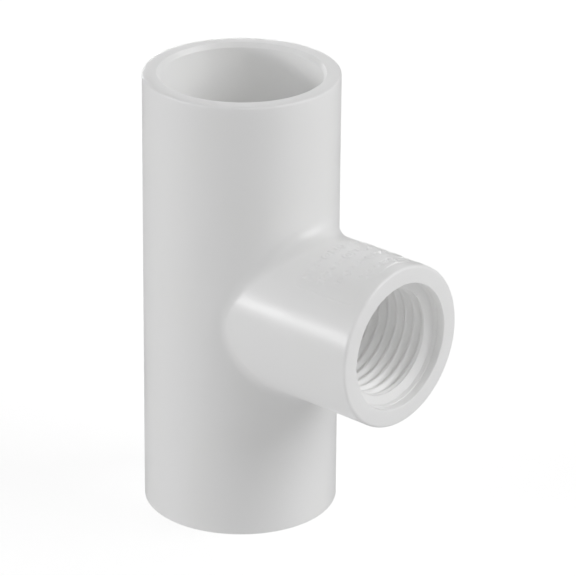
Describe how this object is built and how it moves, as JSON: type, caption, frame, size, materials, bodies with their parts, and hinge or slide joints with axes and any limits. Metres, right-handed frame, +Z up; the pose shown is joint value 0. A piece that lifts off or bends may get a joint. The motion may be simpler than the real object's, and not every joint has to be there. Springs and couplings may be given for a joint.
{
  "type": "pipe tee",
  "caption": "White PVC reducing tee: a straight run with a plain solvent-weld socket at each end and a smaller side branch with a female tapered pipe thread.",
  "frame": {"origin": "under the middle of the bounding box, in the plane of the lower socket's rim, which the fitting stands on", "axes": "+Z up the run, +X out along the branch, +Y across both"},
  "size_m": [0.0518, 0.0328, 0.077],
  "materials": {
    "white_upvc": "injection-moulded, satin"
  },
  "bodies": {
    "root": {"tee_body": "white_upvc"}
  },
  "joints": []
}
